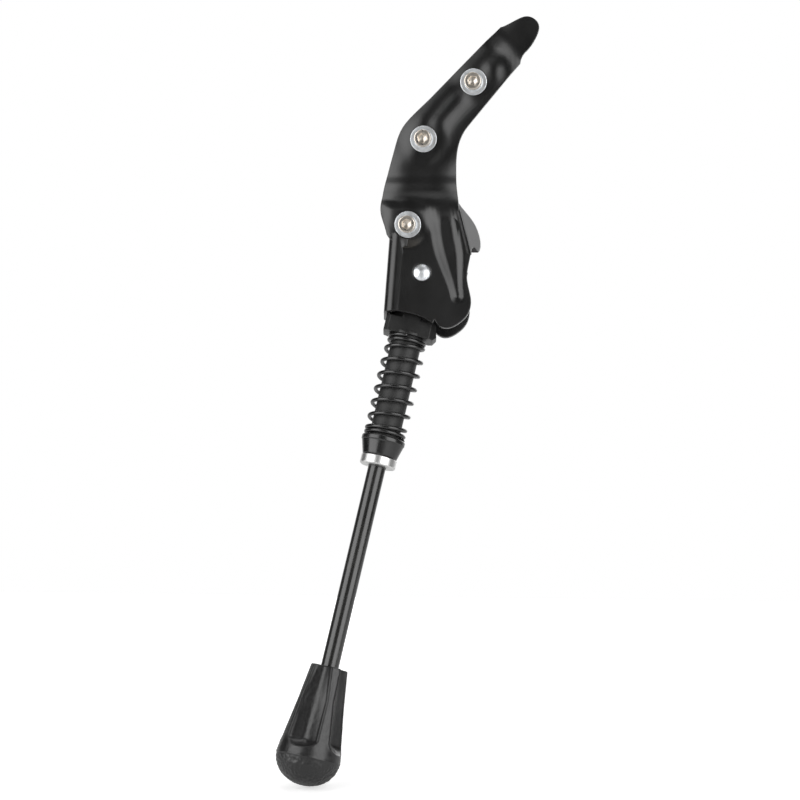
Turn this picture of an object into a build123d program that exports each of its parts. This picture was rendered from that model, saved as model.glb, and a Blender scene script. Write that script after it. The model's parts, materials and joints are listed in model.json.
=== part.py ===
from build123d import *
import os
from math import atan2, cos, degrees, hypot, pi, radians, sin

os.makedirs("parts", exist_ok=True)

# Bicycle kickstand that clamps to the chain stay and the seat stay. Millimetres.
# X runs back along the chain stay, Y inward to the wheel, Z up; origin on the chain stay's axis.

# stays held by the clamp
chainstay_r = 10.0
seatstay_r = 8.0
seatstay_y = 1.0

# clamp bolts, places in X and Z
upper_bolt_at = (28.6, 53.0)
middle_bolt_at = (3.8, 25.1)
lower_bolt_at = (-3.6, -17.3)
bolt_r = 2.5
bolt_length = 30.0
bolt_head_r = 4.25
bolt_head_height = 5.0
hex_socket_flats = 4.0
hex_socket_depth = 2.6
thread_clearance = 0.05
bolt_hole_clearance = 0.3
flat_washer_r = 6.6
flat_washer_thick = 1.0
lock_washer_r = 4.6
lock_washer_thick = 1.2
lock_washer_gap = 0.8
washer_clearance = 0.15

# pressed sheet
sheet_thick = 2.6
wall_thick = 3.0
arm_face_y = -10.5
lower_seat_y = -14.6
seat_skim = 0.1
seat_pad_r = 5.0
seat_blend = 2.6
lower_pad_r = 7.0
arch_rise = 2.6
arch_half = 9.0
arch_z = 0.4
neck_mid_x = 2.0
neck_flat_half = 6.0
neck_roll = 0.014
ramp_top_z = -2.0
ramp_length = 9.5
box_knee_z = -15.0
groove_depth = 2.3
groove_left_half = 6.5
groove_right_half = 8.5
arm_lean = 0.15
joggle_depth = 3.4
joggle_length = 10.0
valley_depth = 2.9
valley_low_depth = 1.2
valley_left_half = 6.8
valley_right_half = 6.0
valley_low_half = 2.4
valley_floor = 0.25
facet_r = 9.0
fold_dive = 0.5
grid_step = 2.0
bend_soft = 1.35

# pivot and leg attitude
pivot_x = 2.5
pivot_y = -6.3
pivot_z = -43.7
yaw = 6.0
splay = 12.0
rake = 13.1

# box under the neck
box_gap = 20.0
box_left = -17.4
box_lean = 4.2
box_outer_bend = 4.5
box_inner_bend = 1.5
box_strip_end = -8.2
roll_r = 5.0
back_cheek_top = 13.0
fold_step = 0.25
fold_sink = 0.2
flange_root = 3.4
flange_lean = -12.8
flange_flare = 28.0
flange_reach = 18.6
flange_bend = 3.2
flange_inner_bend = 2.2

# pivot
rivet_r = 3.0
rivet_head_r = 4.3
rivet_sink = 0.2
rivet_head_height = 1.7
pivot_clearance = 0.04
rivet_hole_clearance = 0.02
thrust_washer_r = 7.5
thrust_washer_clearance = 0.05

# leg, distances down from the pivot; pieces on the tube and on the rod follow its end
tube_r = 7.5
tube_end = 95.0
ring_lip = 2.3
ring_height = 4.5
seat_height = 10.0
set_screw_drop = 5.6
rod_inside = 37.0
rod_length = 184.0
rod_in_foot = 44.0
ring_bottom = tube_end + ring_lip
seat_bottom = ring_bottom - ring_height
seat_top = seat_bottom - seat_height
set_screw_at = seat_top + set_screw_drop
rod_top = tube_end - rod_inside
rod_end = rod_top + rod_length
foot_top = rod_end - rod_in_foot
head_r = 9.0
head_thick = 15.0
bore_top = 14.0
rod_r = 4.35
rod_fit = 0.07
seat_top_r = 10.8
seat_bottom_r = 8.6
ring_r = 8.9
ring_chamfer = 0.6
glue_gap = 0.02
set_screw_r = 2.0
set_screw_end = 9.2
set_screw_gap = 0.03

# spring collar
collar_fit = 0.06
collar_top = 12.0
collar_neck_height = 10.9
collar_body_height = 8.0
collar_neck_half = 9.0
collar_neck_chamfer = 4.8
collar_half = 12.4
collar_depth_half = 8.6
collar_lip_height = 1.4
collar_lip_half = 9.7
collar_taper = 1.6
collar_chamfer = 3.6
tooth_height = 2.4
tooth_width = 3.4
collar_shoulder = collar_top + collar_neck_height
collar_bottom = collar_shoulder + collar_body_height

# spring
wire_r = 1.0
spring_r = 9.3
spring_top_r = 8.7
spring_belly = 0.35
closed_turns = 1.75
active_turns = 6.25
spring_gap = 0.02

# rubber foot
foot_length = 58.0
foot_top_r = 9.0
foot_max_r = 15.8
foot_max_at = 44.0
foot_bevel = 0.6
flute_count = 4
flute_turn = -22.0
flute_top_half = 4.3
flute_mid_half = 7.0
flute_mid_at = 17.0
flute_low_half = 7.5
flute_end_at = 39.0
flute_corner = 5.6
flute_top_depth = 1.9
flute_low_depth = 3.2

pivot = Vector(pivot_x, pivot_y, pivot_z)
box_at = Location(pivot, (0, 0, yaw)) * Location((0, 0, 0), (-splay, 0, 0))
leg_at = box_at * Location((0, 0, 0), (0, rake, 0))
front_v = -box_gap / 2 - wall_thick
box_normal = (box_at * Location((0, 1, 0))).position - pivot
box_face = (box_at * Location((0, front_v, 0))).position


def smooth(t):
    t = max(0.0, min(1.0, t))
    return t * t * (3 - 2 * t)


def mix(a, b, t):
    return a + (b - a) * t


def hump(t):
    return cos(pi * t / 2) ** 2 if abs(t) < 1 else 0.0


def along_line(x, z, a, b):
    # share of the way from a to b, and the distance from that line
    ux = b[0] - a[0]
    uz = b[1] - a[1]
    share = ((x - a[0]) * ux + (z - a[1]) * uz) / (ux * ux + uz * uz)
    held = max(0.0, min(1.0, share))
    return share, hypot(x - a[0] - held * ux, z - a[1] - held * uz)


# groove along the arm, and the valley down the box, as centre lines in X and Z
groove_line = [(39.0, 61.6), (36.5, 58.3), (23.3, 46.9), (15.9, 39.5), (10.1, 32.2), (6.4, 22.0), (5.4, 13.0)]
valley_line = [(12.4, -7.0), (15.0, -24.7), (16.7, -33.1), (19.7, -53.0)]
joggle_line = [(41.1, 80.1), (52.3, 65.3)]


def box_plane_y(x, z):
    n = box_normal
    return box_face.Y - (n.X * (x - box_face.X) + n.Z * (z - box_face.Z)) / n.Y


def nearest(x, z, line):
    # height share down the line, and the signed distance from it, right side positive
    best = None
    for a, b in zip(line, line[1:]):
        share, off = along_line(x, z, a, b)
        side = (b[0] - a[0]) * (z - a[1]) - (b[1] - a[1]) * (x - a[0])
        if best is None or off < abs(best[1]):
            held = max(0.0, min(1.0, share))
            best = (mix(a[1], b[1], held), off if side > 0 else -off)
    return best


def groove_drop(x, z):
    # soft left flank, straight right flank up to the rim; the face leans back towards the left edge
    level, off = nearest(x, z, groove_line)
    shape = hump(off / groove_left_half) if off < 0 else max(0.0, 1 - off / groove_right_half)
    lean = arm_lean * max(0.0, -off - 4)
    return (groove_depth * shape + lean) * smooth((z - groove_line[-1][1] + 3) / 10)


def valley_drop(x, z):
    # flat floor between two straight flanks, closing to a point above the lobe
    level, off = nearest(x, z, valley_line)
    share = (valley_line[0][1] - level) / (valley_line[0][1] - valley_line[-1][1])
    late = smooth((share - 0.45) / 0.55)
    half = mix(valley_left_half if off < 0 else valley_right_half, valley_low_half, late)
    shape = max(0.0, min(1.0, (1 - abs(off) / half) / (1 - valley_floor)))
    return mix(valley_depth, valley_low_depth, late) * shape * smooth((ramp_top_z - z) / 4)


def crisp_y(x, z):
    # outer face of the pressed sheet, before its bends are rounded
    y = arm_face_y - arch_rise * hump((z - arch_z) / arch_half)
    edge = max(0.0, abs(x - neck_mid_x) - neck_flat_half)
    y += neck_roll * edge ** 2 * smooth((22 - z) / 12) * smooth((z + 9) / 6)
    y = mix(y, box_plane_y(x, min(z, box_knee_z)), smooth((ramp_top_z - z) / ramp_length))
    y += valley_drop(x, z) + groove_drop(x, z)
    a, b = joggle_line
    run = ((x - a[0]) * (a[1] - b[1]) + (z - a[1]) * (b[0] - a[0])) / hypot(b[0] - a[0], b[1] - a[1])
    y += joggle_depth * smooth((run + joggle_length) / joggle_length)
    for place, seat, pad in ((upper_bolt_at, arm_face_y, seat_pad_r), (middle_bolt_at, arm_face_y, seat_pad_r),
                             (lower_bolt_at, lower_seat_y, lower_pad_r)):
        away = hypot(x - place[0], z - place[1])
        y = mix(seat - seat_skim, y, smooth((away - pad) / seat_blend))
    # left edge rolls back into the folded wall, in a wide facet beside the lower bolt
    rolled = max(0.0, mix(-14.0, -9.6, smooth((-5.0 - z) / 6.0)) - x)
    r = mix(facet_r, roll_r, smooth((-15.0 - z) / 7.0))
    y += min(rolled, r) ** 2 / (2 * r) * smooth((ramp_top_z - z) / 5)
    y += fold_dive * smooth((-9.6 - x) / 2) * smooth((-20.5 - z) / 2)
    return y


def sheet_y(x, z):
    # bends rounded by averaging over their neighbourhood
    around = [crisp_y(x + bend_soft * i, z + bend_soft * j) for i in (-1, 0, 1) for j in (-1, 0, 1)]
    return sum(around) / len(around)


def grid(start, stop):
    count = round((stop - start) / grid_step)
    return [start + grid_step * i for i in range(count + 1)]


def slab(face, reach):
    return extrude(face, reach, both=True)


def flat_xz(*edges):
    return Plane.XZ * make_face(Curve() + list(edges))


def arm_outline():
    # front view of the arm and neck
    right = Spline((21.5, -10.0), (20.2, 2.0), (19.9, 14.0), (22.4, 25.7), (25.9, 31.4))
    edge = Line((25.9, 31.4), (51.4, 62.0))
    relief = Spline((51.4, 62.0), (52.0, 64.6), (54.0, 67.8))
    tip = Spline((54.0, 67.8), (59.8, 76.2), (60.4, 81.6), (55.5, 85.3), (50.0, 84.0), (41.6, 80.2))
    left = Line((41.6, 80.2), (7.4, 45.6))
    back = Spline((7.4, 45.6), (-1.8, 36.9), (-7.2, 30.4), (-11.0, 20.0), (-13.9, 9.0), (-16.6, -2.5),
                  (-17.4, -11.5), (-15.6, -17.3), (-14.2, -22.2))
    low = Polyline((-14.2, -22.2), (-12.5, -24.6), (-8.0, -24.6), (0.0, -27.0), (21.5, -10.0))
    return flat_xz(right, edge, relief, tip, left, back, low)


def cheek_outline(top_left, left_end, right_edge):
    # box plate below the neck, about the pivot: cam edge, notch and lobe
    foot = Line((left_end, -18.7), (-12.0, -19.2))
    cam = Spline((-12.0, -19.2), (-5.1, -20.6), (0.9, -22.8), (5.2, -25.6))
    notch_in = Line((5.2, -25.6), (6.1, -23.6))
    notch_out = Line((6.1, -23.6), (7.4, -25.9))
    lobe = Spline((7.4, -25.9), (12.3, -27.9), (18.3, -25.3), (22.7, -20.6), (24.1, -15.0), (23.2, -9.0),
                  (22.2, -3.0), (23.0, 4.0), (24.0, 9.0))
    rest = Polyline((24.0, 9.0), *right_edge, top_left, (left_end, -18.7))
    return flat_xz(foot, cam, notch_in, notch_out, lobe, rest)


def pressed_sheet():
    # the formed plate, trimmed to the arm above and the front cheek below
    points = [[Vector(x, sheet_y(x, z), z) for z in grid(-74.0, 92.0)] for x in grid(-24.0, 66.0)]
    face = Face.make_surface_from_array_of_points(points, tol=0.08)
    plate = extrude(face, sheet_thick, dir=(0, 1, 0))
    arm = slab(arm_outline(), 60)
    cheek = slab(box_at * cheek_outline((-9.9, 25.0), -13.6, ((22.6, 9.8), (17.2, 33.0))), 60)
    return plate & (arm + cheek)


def folded_channel():
    # left wall with its two bends, the back cheek and a strip of the front cheek
    proud_v = front_v - fold_step
    right = box_left + 60
    level = box_left + box_outer_bend + 0.5
    outer = make_face(Polyline((box_left, proud_v), (level, proud_v), (box_strip_end, front_v + fold_sink),
                               (right, front_v + fold_sink), (right, -front_v), (box_left, -front_v), close=True))
    outer = fillet(outer.vertices().group_by(Axis.X)[0], box_outer_bend)
    inner = Pos(box_left + wall_thick, proud_v + wall_thick)
    inner *= Rectangle(60, box_gap / 2 - proud_v - wall_thick, align=Align.MIN)
    inner = fillet(inner.vertices().group_by(Axis.X)[0], box_inner_bend)
    section = outer - inner - Pos(box_strip_end, proud_v - 1) * Rectangle(60, 8, align=Align.MIN)
    channel = Rot(0, box_lean, 0) * (Pos(0, 0, -30) * extrude(section, 56))
    channel &= slab(cheek_outline((-40.0, 25.0), -40.0, ((24.0, 25.0),)), 40)
    top = Plane.YZ * make_face(Polyline((-20, 40), (-20, 21), (front_v + 4, 20), (5, back_cheek_top),
                                        (20, back_cheek_top), (20, 40), close=True))
    channel -= slab(top, 60)
    corner = Pos(12.0, -5, back_cheek_top) * Rot(0, 35, 0) * Box(40, 40, 20, align=Align.MIN)
    return box_at * (channel - corner)


def hook_flange():
    # flared flange on the right edge, rising from the lobe to the neck
    lead = sin(radians(flange_flare))
    deep = cos(radians(flange_flare))
    face_v = front_v - fold_step
    back_v = face_v + wall_thick
    inner_bend = -wall_thick * (1 - lead) / deep
    outer_tip = (flange_reach * lead, face_v + flange_reach * deep)
    inner_tip = (outer_tip[0] - wall_thick * deep, outer_tip[1] + wall_thick * lead)
    profile = make_face(Polyline((-flange_root, front_v + fold_sink), (0, face_v), outer_tip, inner_tip,
                                 (inner_bend, back_v), (-flange_root, back_v), close=True))
    profile = fillet(profile.vertices().sort_by_distance((0, face_v))[0], flange_bend)
    profile = fillet(profile.vertices().sort_by_distance((inner_bend, back_v))[0], flange_inner_bend)
    flange = Pos(23.2, 0, 10) * Rot(0, flange_lean, 0) * (Pos(0, 0, -12) * extrude(profile, 60))
    edge = Spline((-11.5, 35.5), (-3.6, 30.8), (0.6, 27.3), (2.2, 23.2), (1.9, 19.0), (0.0, 15.2), (-3.4, 12.3))
    tip = Line((-3.4, 12.3), (-6.0, 14.2))
    hook = Spline((-6.0, 14.2), (-8.8, 13.0), (-11.0, 9.5))
    low = Polyline((-11.0, 9.5), (-20.0, 5.0), (-20.0, 36.0), (-11.5, 35.5))
    flange &= slab(Plane.YZ * make_face(Curve() + [edge, tip, hook, low]), 80)
    return box_at * flange


def stay_cylinders():
    chain = Rot(0, 90, 0) * Cylinder(chainstay_r, 200)
    return chain, seat_line() * Cylinder(seatstay_r, 200)


def seat_line():
    # the seat stay lies across the arm, midway between the two upper bolts
    run_x = upper_bolt_at[0] - middle_bolt_at[0]
    run_z = upper_bolt_at[1] - middle_bolt_at[1]
    mid_x = (upper_bolt_at[0] + middle_bolt_at[0]) / 2
    mid_z = (upper_bolt_at[1] + middle_bolt_at[1]) / 2
    return Location((mid_x, seatstay_y, mid_z), (0, degrees(atan2(-run_z, run_x)), 0))


bolt_places = {
    "upper": (upper_bolt_at, arm_face_y),
    "middle": (middle_bolt_at, arm_face_y),
    "lower": (lower_bolt_at, lower_seat_y),
}


def bolt_frame(name):
    # local Z points out of the head, zero on the washer seat
    place, seat = bolt_places[name]
    return Location((place[0], seat, place[1]), (90, 0, 0))


def make_bracket():
    body = pressed_sheet()
    body += folded_channel()
    body += hook_flange()
    for name in bolt_places:
        body -= bolt_frame(name) * Cylinder(bolt_r + bolt_hole_clearance, 16)
        body -= bolt_frame(name) * Cylinder(flat_washer_r + 0.4, 5, align=(Align.CENTER, Align.CENTER, Align.MIN))
    across = box_at * Location((0, 0, 0), (90, 0, 0))
    body -= across * Cylinder(rivet_r + rivet_hole_clearance, 40)
    face = across * Pos(0, 0, -front_v - rivet_sink)
    body -= face * Cylinder(rivet_head_r + 0.4, 3, align=(Align.CENTER, Align.CENTER, Align.MIN))
    for stay in stay_cylinders():
        body -= stay
    return body


def make_counter_plate():
    # cast plate behind the stays with a saddle for each
    shape = make_face(Polyline((38.0, 60.0), (30.0, 65.5), (-9.0, 29.0), (-13.5, -21.0), (-7.0, -26.5),
                               (7.5, -24.0), (15.0, 12.0), (18.5, 30.0), (35.5, 50.5), close=True))
    shape = fillet(shape.vertices(), 4)
    plate = Pos(0, 4.2, 0) * extrude(Plane.XZ * shape, -9.6)
    plate = chamfer(plate.faces().sort_by(Axis.Y)[-1].edges(), 1.6)
    for stay in stay_cylinders():
        plate -= stay
    for name in bolt_places:
        plate -= bolt_frame(name) * Cylinder(bolt_r + thread_clearance, 80)
    return plate


def make_bolt(name):
    lift = flat_washer_thick + lock_washer_thick
    shank = Cylinder(bolt_r, bolt_length, align=(Align.CENTER, Align.CENTER, Align.MAX))
    shank = chamfer(shank.edges().sort_by(Axis.Z)[0], 0.6)
    head = Cylinder(bolt_head_r, bolt_head_height, align=(Align.CENTER, Align.CENTER, Align.MIN))
    head = fillet(head.edges().sort_by(Axis.Z)[-1], 0.5)
    socket = extrude(RegularPolygon(hex_socket_flats / 2, 6, major_radius=False), hex_socket_depth)
    bolt = shank + head - Pos(0, 0, bolt_head_height - hex_socket_depth) * socket
    return bolt_frame(name) * Pos(0, 0, lift) * bolt


def make_flat_washer(name):
    ring = Cylinder(flat_washer_r, flat_washer_thick, align=(Align.CENTER, Align.CENTER, Align.MIN))
    ring = fillet(ring.edges().sort_by(Axis.Z)[-1], 0.25)
    ring -= Cylinder(bolt_r + washer_clearance, 10)
    return bolt_frame(name) * ring


def make_lock_washer(name):
    ring = Cylinder(lock_washer_r, lock_washer_thick, align=(Align.CENTER, Align.CENTER, Align.MIN))
    ring -= Cylinder(bolt_r + washer_clearance, 10)
    ring -= Rot(0, 0, 60) * Pos(lock_washer_r / 2 + 1, 0, 0) * Rot(25, 0, 0) * Box(8, lock_washer_gap, 10)
    return bolt_frame(name) * Pos(0, 0, flat_washer_thick) * ring


def make_rivet():
    pin = Cylinder(rivet_r, -2 * front_v)
    ball_r = (rivet_head_r ** 2 + rivet_head_height ** 2) / (2 * rivet_head_height)
    dome = Pos(0, 0, rivet_head_height - ball_r) * Sphere(ball_r)
    dome &= Cylinder(20, 20, align=(Align.CENTER, Align.CENTER, Align.MIN))
    front = Pos(0, 0, -front_v - rivet_sink) * dome
    back = Rot(180, 0, 0) * (Pos(0, 0, -front_v) * dome)
    return box_at * Location((0, 0, 0), (90, 0, 0)) * (pin + front + back)


def make_thrust_washer(side):
    inner = head_thick / 2 + thrust_washer_clearance
    thick = box_gap / 2 - thrust_washer_clearance - inner
    ring = Cylinder(thrust_washer_r, thick, align=(Align.CENTER, Align.CENTER, Align.MIN))
    ring -= Cylinder(rivet_r + pivot_clearance, 20)
    return box_at * Location((0, 0, 0), (90 * side, 0, 0)) * Pos(0, 0, inner) * ring


def down(distance, radius, length):
    return Pos(0, 0, -distance) * Cylinder(radius, length, align=(Align.CENTER, Align.CENTER, Align.MAX))


def make_tube():
    eye = Rot(90, 0, 0) * Cylinder(head_r, head_thick)
    eye = chamfer(eye.edges().filter_by(GeomType.CIRCLE), 0.6)
    tube = down(2, tube_r, tube_end - 2) + eye
    tube -= down(bore_top, rod_r + rod_fit, tube_end)
    tube -= Rot(90, 0, 0) * Cylinder(rivet_r + pivot_clearance, 40)
    tube -= Pos(0, 0, -set_screw_at) * Rot(-90, 0, 0) * down(-20, set_screw_r + thread_clearance, 20)
    return leg_at * tube


def make_spring_seat():
    bore = tube_r + glue_gap
    profile = Polyline((bore, -seat_top), (seat_top_r - 0.5, -seat_top), (seat_top_r, -seat_top - 0.5),
                       (seat_top_r, -seat_top - 2.2), (seat_bottom_r, -seat_bottom + 0.8),
                       (seat_bottom_r - 0.8, -seat_bottom), (bore, -seat_bottom), close=True)
    seat = revolve(Plane.XZ * make_face(profile), Axis.Z)
    seat -= Pos(0, 0, -set_screw_at) * Rot(-90, 0, 0) * down(-20, set_screw_r + thread_clearance, 20)
    return leg_at * seat


def make_end_ring():
    ring = down(seat_bottom + glue_gap, ring_r, ring_bottom - seat_bottom)
    ring = chamfer(ring.edges().sort_by(Axis.Z)[0], ring_chamfer)
    ring -= down(0, rod_r + rod_fit, 150)
    ring -= down(0, tube_r + glue_gap, tube_end + glue_gap)
    return leg_at * ring


def make_set_screw():
    start = rod_r + set_screw_gap
    screw = Cylinder(set_screw_r, set_screw_end - start, align=(Align.CENTER, Align.CENTER, Align.MIN))
    screw = chamfer(screw.edges().sort_by(Axis.Z)[0], 0.5)
    key = extrude(RegularPolygon(1.0, 6, major_radius=False), 1.8)
    screw -= Pos(0, 0, set_screw_end - start - 1.8) * key
    return leg_at * (Pos(0, 0, -set_screw_at) * Rot(-90, 0, 0) * (Pos(0, 0, start) * screw))


def block(half_x, half_y, top, bottom):
    return Pos(0, 0, -(top + bottom) / 2) * Box(2 * half_x, 2 * half_y, bottom - top)


def make_collar():
    # neck between the cheeks, its corners cut off to pass the valley when folded;
    # six-sided body that widens to the spring, and a tooth for the notch
    neck = chamfer(Rectangle(2 * collar_neck_half, 2 * collar_depth_half).vertices(), collar_neck_chamfer)
    neck = Pos(0, 0, -collar_shoulder - 1) * extrude(neck, collar_neck_height + 1)
    wide = collar_half + collar_taper
    side = make_face(Polyline((-collar_half, -collar_shoulder), (collar_half, -collar_shoulder),
                              (wide, -collar_bottom + 2), (wide - collar_taper, -collar_bottom),
                              (-collar_half, -collar_bottom), close=True))
    body = slab(Plane.XZ * side, collar_depth_half)
    plan = Rectangle(2 * wide, 2 * collar_depth_half)
    plan = chamfer(plan.vertices(), collar_chamfer)
    body &= Pos(0, 0, -collar_bottom - 1) * extrude(plan, collar_body_height + 2)
    lip = down(collar_bottom - collar_lip_height, collar_lip_half, collar_lip_height)
    tooth = block(tooth_width / 2, collar_depth_half - 1, collar_shoulder - tooth_height, collar_shoulder + 1)
    tooth = Pos(collar_half - collar_chamfer - tooth_width / 2, 0, 0) * tooth
    collar = neck + body + lip + tooth
    collar -= down(0, tube_r + collar_fit, 60)
    return leg_at * collar


def make_spring():
    # closed turns at both ends, ground flat; the top turns are drawn in under the collar
    top = collar_bottom + spring_gap
    bottom = seat_top - spring_gap
    closed_pitch = 2 * wire_r + 0.06
    active = bottom - top - 2 * wire_r * 0.5 - 2 * closed_turns * closed_pitch
    turns = 2 * closed_turns + active_turns
    points = []
    steps = round(turns * 16)
    for i in range(steps + 1):
        turn = turns * i / steps
        into = max(0.0, min(active_turns, turn - closed_turns))
        outside = turn - into
        z = bottom - wire_r * 0.5 - outside * closed_pitch - active * into / active_turns
        r = spring_r + spring_belly * sin(pi * turn / turns)
        r = mix(r, spring_top_r, smooth((turn - turns + closed_turns + 1) / 1.5))
        angle = 2 * pi * turn
        points.append((r * cos(angle), r * sin(angle), -z))
    path = Spline(*points)
    section = Plane(origin=path @ 0, z_dir=path % 0) * Circle(wire_r)
    coil = sweep(section, path=path, is_frenet=True)
    keep = Pos(0, 0, -(top + bottom) / 2) * Cylinder(30, bottom - top)
    return leg_at * (coil & keep)


def make_rod():
    rod = down(rod_top, rod_r, rod_end - rod_top)
    rod = chamfer(rod.edges().filter_by(GeomType.CIRCLE), 0.8)
    return leg_at * rod


def make_foot():
    wide = -foot_top - foot_max_at
    end = -foot_top - foot_length
    side = Polyline((0, -foot_top), (foot_top_r - foot_bevel, -foot_top), (foot_top_r, -foot_top - foot_bevel),
                    (foot_max_r - 0.5, wide + 2))
    shoulder = Spline((foot_max_r - 0.5, wide + 2), (foot_max_r, wide - 2), (foot_max_r * 0.82, wide - 8.6),
                      (foot_max_r * 0.45, end + 1.5), (0, end), tangents=((0.12, -1), (-1, 0)))
    axis = Line((0, end), (0, -foot_top))
    foot = revolve(Plane.XZ * make_face(Curve() + [side, shoulder, axis]), Axis.Z)
    slot = make_face(Polyline((-flute_top_half, 6), (flute_top_half, 6), (flute_top_half, 0),
                              (flute_mid_half, -flute_mid_at), (flute_low_half, -flute_end_at),
                              (-flute_low_half, -flute_end_at), (-flute_mid_half, -flute_mid_at),
                              (-flute_top_half, 0), close=True))
    slot = fillet(slot.vertices().group_by(Axis.Y)[0], flute_corner)
    run = (foot_max_r - foot_top_r) / foot_max_at
    floor_top = foot_top_r - flute_top_depth
    floor_low = foot_top_r + run * flute_end_at - flute_low_depth
    climb = (floor_low - floor_top) / flute_end_at
    core = Cone(floor_low + climb * 6, floor_top - climb * 8, flute_end_at + 14)
    core = Pos(0, 0, -foot_top - flute_end_at / 2 + 1) * core
    cutter = Pos(0, 0, -foot_top) * extrude(Plane.YZ * slot, 30) - core
    for i in range(flute_count):
        foot -= Rot(0, 0, 360 * i / flute_count - 90 + flute_turn) * cutter
    foot -= down(0, rod_r + glue_gap, rod_end + glue_gap)
    return leg_at * foot


pieces = {
    "bracket": make_bracket(),
    "counter_plate": make_counter_plate(),
    "pivot_rivet": make_rivet(),
    "thrust_washer_outer": make_thrust_washer(1),
    "thrust_washer_inner": make_thrust_washer(-1),
    "leg_tube": make_tube(),
    "spring_seat": make_spring_seat(),
    "end_ring": make_end_ring(),
    "set_screw": make_set_screw(),
    "spring_collar": make_collar(),
    "spring": make_spring(),
    "leg_rod": make_rod(),
    "rubber_foot": make_foot(),
}
for name in bolt_places:
    pieces[name + "_bolt"] = make_bolt(name)
    pieces[name + "_flat_washer"] = make_flat_washer(name)
    pieces[name + "_lock_washer"] = make_lock_washer(name)

for name, piece in pieces.items():
    export_step(piece, "parts/" + name + ".step")
    print(name, round(piece.volume, 1), len(piece.solids()), piece.is_valid)
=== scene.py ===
import json
import math

import bmesh
import bpy
import numpy as np
from mathutils import Matrix, Vector, noise


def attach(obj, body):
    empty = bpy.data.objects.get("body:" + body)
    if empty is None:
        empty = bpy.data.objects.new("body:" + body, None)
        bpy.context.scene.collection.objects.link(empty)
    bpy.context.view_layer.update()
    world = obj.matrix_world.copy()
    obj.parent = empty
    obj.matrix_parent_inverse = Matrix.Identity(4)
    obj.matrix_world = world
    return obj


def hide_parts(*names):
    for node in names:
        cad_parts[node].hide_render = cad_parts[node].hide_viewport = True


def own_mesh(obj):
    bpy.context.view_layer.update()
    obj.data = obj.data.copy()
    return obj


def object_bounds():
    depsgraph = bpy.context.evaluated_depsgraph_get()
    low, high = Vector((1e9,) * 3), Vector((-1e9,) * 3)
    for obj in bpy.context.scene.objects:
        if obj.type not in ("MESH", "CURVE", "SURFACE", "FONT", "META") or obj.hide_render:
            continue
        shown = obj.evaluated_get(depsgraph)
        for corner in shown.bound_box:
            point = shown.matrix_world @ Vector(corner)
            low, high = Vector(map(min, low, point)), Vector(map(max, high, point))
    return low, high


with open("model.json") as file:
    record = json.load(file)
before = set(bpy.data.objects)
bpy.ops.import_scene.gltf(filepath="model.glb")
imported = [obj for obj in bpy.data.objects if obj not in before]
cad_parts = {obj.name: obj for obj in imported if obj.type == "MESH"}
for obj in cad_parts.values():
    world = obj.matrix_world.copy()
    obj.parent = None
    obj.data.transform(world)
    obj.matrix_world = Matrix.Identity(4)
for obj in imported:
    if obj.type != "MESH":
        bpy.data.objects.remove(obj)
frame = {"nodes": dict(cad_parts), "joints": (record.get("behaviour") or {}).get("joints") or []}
cadLow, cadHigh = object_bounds()
nodes = frame["nodes"]
joints = {j["name"]: j for j in frame["joints"]}
mm = 0.001
print("frame loaded:", len(nodes), "nodes")

# leg frame: origin at the pivot, z up the leg, y along the pivot pin towards the wheel
pivot = Vector(joints["leg_fold"]["pos_m"])
legUp = Vector(joints["leg_length"]["axis"]).normalized()
pinIn = -Vector(joints["leg_fold"]["axis"]).normalized()
legSide = pinIn.cross(legUp).normalized()
legMatrix = Matrix([(legSide[i], pinIn[i], legUp[i], pivot[i]) for i in range(3)] + [(0, 0, 0, 1)])


# shader helpers

def newGroup(name, inputs, outputs):
    group = bpy.data.node_groups.new(name, "ShaderNodeTree")
    for label, kind, value in inputs:
        socket = group.interface.new_socket(label, in_out="INPUT", socket_type=kind)
        if value is not None:
            socket.default_value = value
    for label, kind in outputs:
        group.interface.new_socket(label, in_out="OUTPUT", socket_type=kind)
    return group, group.nodes.new("NodeGroupInput"), group.nodes.new("NodeGroupOutput")


def addNode(tree, kind, **values):
    node = tree.nodes.new(kind)
    for key, value in values.items():
        setattr(node, key, value)
    return node


def mathNode(tree, operation, a, b=None, clamp=False):
    node = addNode(tree, "ShaderNodeMath", operation=operation, use_clamp=clamp)
    for socket, value in zip(node.inputs, (a, b)):
        if value is None:
            continue
        if isinstance(value, (int, float)):
            socket.default_value = value
        else:
            tree.links.new(value, socket)
    return node.outputs[0]


def rampNode(tree, fac, low, high, lowValue=0.0, highValue=1.0):
    node = addNode(tree, "ShaderNodeMapRange")
    node.inputs["From Min"].default_value = low
    node.inputs["From Max"].default_value = high
    node.inputs["To Min"].default_value = lowValue
    node.inputs["To Max"].default_value = highValue
    tree.links.new(fac, node.inputs["Value"])
    return node.outputs[0]


def mixColor(tree, fac, a, b):
    node = addNode(tree, "ShaderNodeMix", data_type="RGBA")
    for socket, value in ((node.inputs[0], fac), (node.inputs[6], a), (node.inputs[7], b)):
        if isinstance(value, (int, float, tuple)):
            socket.default_value = value
        else:
            tree.links.new(value, socket)
    return node.outputs[2]


def noiseNode(tree, vector, scale, detail=3.0, rough=0.5):
    node = addNode(tree, "ShaderNodeTexNoise")
    node.inputs["Detail"].default_value = detail
    node.inputs["Roughness"].default_value = rough
    if isinstance(scale, (int, float)):
        node.inputs["Scale"].default_value = scale
    else:
        tree.links.new(scale, node.inputs["Scale"])
    tree.links.new(vector, node.inputs["Vector"])
    return node.outputs[0]


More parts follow.
